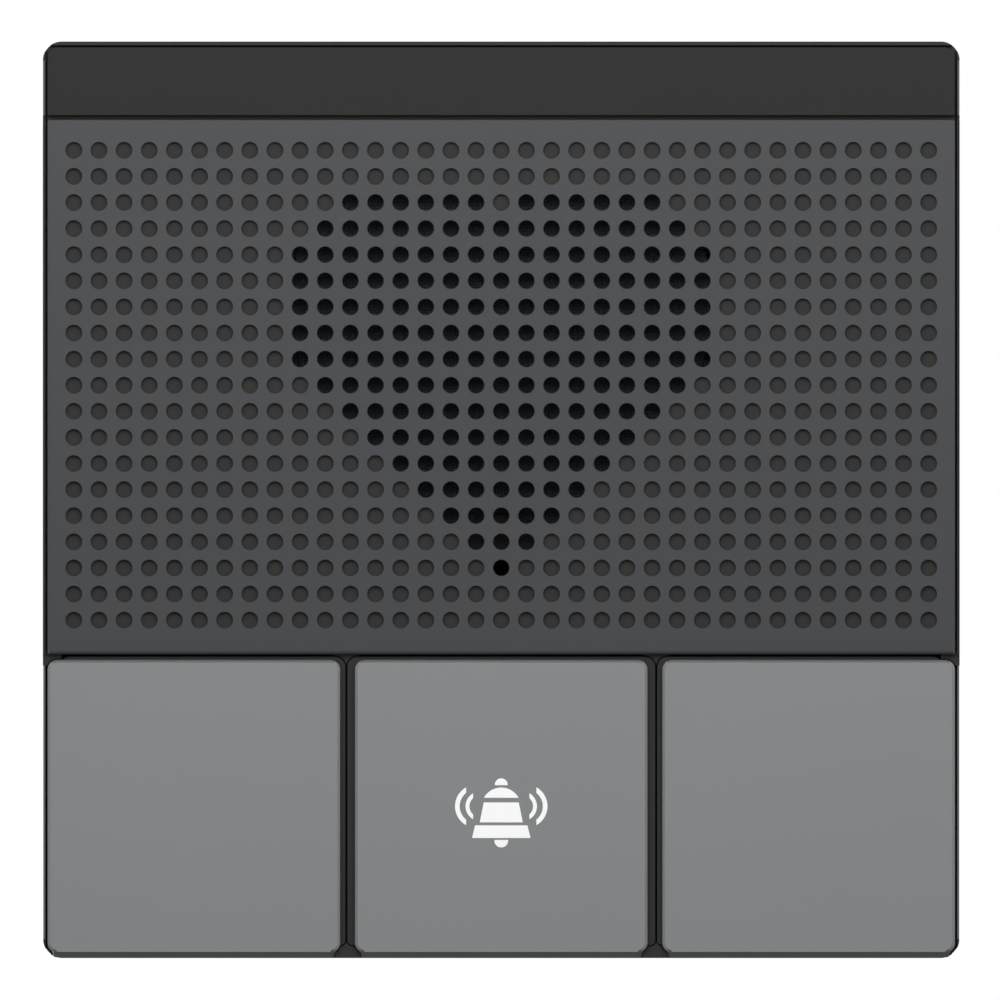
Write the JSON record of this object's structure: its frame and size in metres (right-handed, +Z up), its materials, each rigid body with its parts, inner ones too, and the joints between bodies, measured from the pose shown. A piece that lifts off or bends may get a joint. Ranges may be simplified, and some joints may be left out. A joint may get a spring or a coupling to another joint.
{
  "type": "ip intercom",
  "caption": "Square wall intercom: perforated loudspeaker panel above wide push keys, steel wall bracket behind.",
  "frame": {"origin": "middle of the wall plane, on the back face of the wall bracket", "axes": "+Y into the wall, -Y is the front that a person faces, +X to the right seen from the front, +Z up"},
  "size_m": [0.088, 0.036, 0.088],
  "materials": {
    "charcoal_housing": "fine spark-eroded texture, charcoal",
    "grille_grey": "aluminium sheet, fine matt dark grey coat",
    "adhesive": "double-sided adhesive film",
    "key_grey": "fine even texture, mid grey",
    "white_ink": "pad-printed ink",
    "mesh_fabric": "fine woven mesh",
    "foam": "closed-cell foam",
    "black_rubber": "moulded",
    "silicone": "translucent grey silicone",
    "carbon": "carbon-filled silicone",
    "paper_cone": "pressed paper",
    "spider_cloth": "resin-dipped cloth",
    "plated_steel": "zinc plated",
    "tinned_sheet": "tinned sheet",
    "ferrite": "sintered ferrite",
    "copper_wire": "enamelled copper",
    "board_green": "glass-filled board with solder mask",
    "contact_gold": "gilt",
    "tinned_pins": "tinned",
    "fibre": "pressed fibre strip with tinned tags",
    "lead_insulation": "soft insulation, red",
    "ribbon": "polyester film over flat conductors",
    "connector_white": "natural nylon",
    "black_plastic": "moulded",
    "relay_blue": "moulded",
    "header_green": "moulded",
    "capsule_aluminium": "drawn can"
  },
  "bodies": {
    "case": {"front_housing": "charcoal_housing", "header_trim": "charcoal_housing", "rear_housing": "charcoal_housing", "grille_panel": "grille_grey", "panel_adhesive_film": "adhesive", "dust_mesh": "mesh_fabric", "speaker_gasket": "foam", "speaker_surround": "black_rubber", "microphone_boot": "black_rubber", "keypad_mat": "silicone", "left_dome": "silicone", "centre_dome": "silicone", "right_dome": "silicone", "speaker_spider": "spider_cloth", "speaker_frame": "plated_steel", "speaker_pole_plate": "plated_steel", "speaker_yoke": "plated_steel", "speaker_screws": "plated_steel", "key_board_screws": "plated_steel", "main_board_screws": "plated_steel", "case_screws": "plated_steel", "locking_screw": "plated_steel", "wall_bracket": "plated_steel", "ethernet_jack_shield": "tinned_sheet", "speaker_magnet": "ferrite", "power_transformer": "ferrite", "main_board": "board_green", "key_board": "board_green", "key_contact_pads": "contact_gold", "ethernet_contacts": "contact_gold", "wire_header_pins": "tinned_pins", "speaker_tag_board": "fibre", "speaker_leads": "lead_insulation", "microphone_leads": "lead_insulation", "ribbon_cable": "ribbon", "ribbon_connectors": "connector_white", "audio_connectors": "connector_white", "ethernet_jack_insert": "black_plastic", "processor_chip": "black_plastic", "memory_chip": "black_plastic", "network_transformer": "black_plastic", "electrolytic_capacitors": "black_plastic", "board_small_parts": "black_plastic", "door_relay": "relay_blue", "wire_header": "header_green", "microphone_capsule": "capsule_aluminium"},
    "left_key": {"left_key_cap": "key_grey", "left_key_carrier": "charcoal_housing", "left_contact_pill": "carbon"},
    "centre_key": {"centre_key_cap": "key_grey", "centre_key_carrier": "charcoal_housing", "centre_contact_pill": "carbon", "bell_symbol": "white_ink"},
    "right_key": {"right_key_cap": "key_grey", "right_key_carrier": "charcoal_housing", "right_contact_pill": "carbon"},
    "cone": {"speaker_cone": "paper_cone", "speaker_dust_cap": "paper_cone", "speaker_voice_coil": "copper_wire"}
  },
  "joints": [
    {"name": "left_key_press", "type": "slide", "parent": "case", "child": "left_key", "axis": [0, 1, 0], "range_m": [0, 0.001], "stiffness_N_per_m": 1500, "springref_m": -0.0005, "deforming": ["left_dome"]},
    {"name": "centre_key_press", "type": "slide", "parent": "case", "child": "centre_key", "axis": [0, 1, 0], "range_m": [0, 0.001], "stiffness_N_per_m": 1500, "springref_m": -0.0005, "deforming": ["centre_dome"]},
    {"name": "right_key_press", "type": "slide", "parent": "case", "child": "right_key", "axis": [0, 1, 0], "range_m": [0, 0.001], "stiffness_N_per_m": 1500, "springref_m": -0.0005, "deforming": ["right_dome"]},
    {"name": "speaker_cone_stroke", "type": "slide", "parent": "case", "child": "cone", "axis": [0, 1, 0], "range_m": [-0.001, 0.001], "stiffness_N_per_m": 1500, "deforming": ["speaker_surround", "speaker_spider"]}
  ]
}
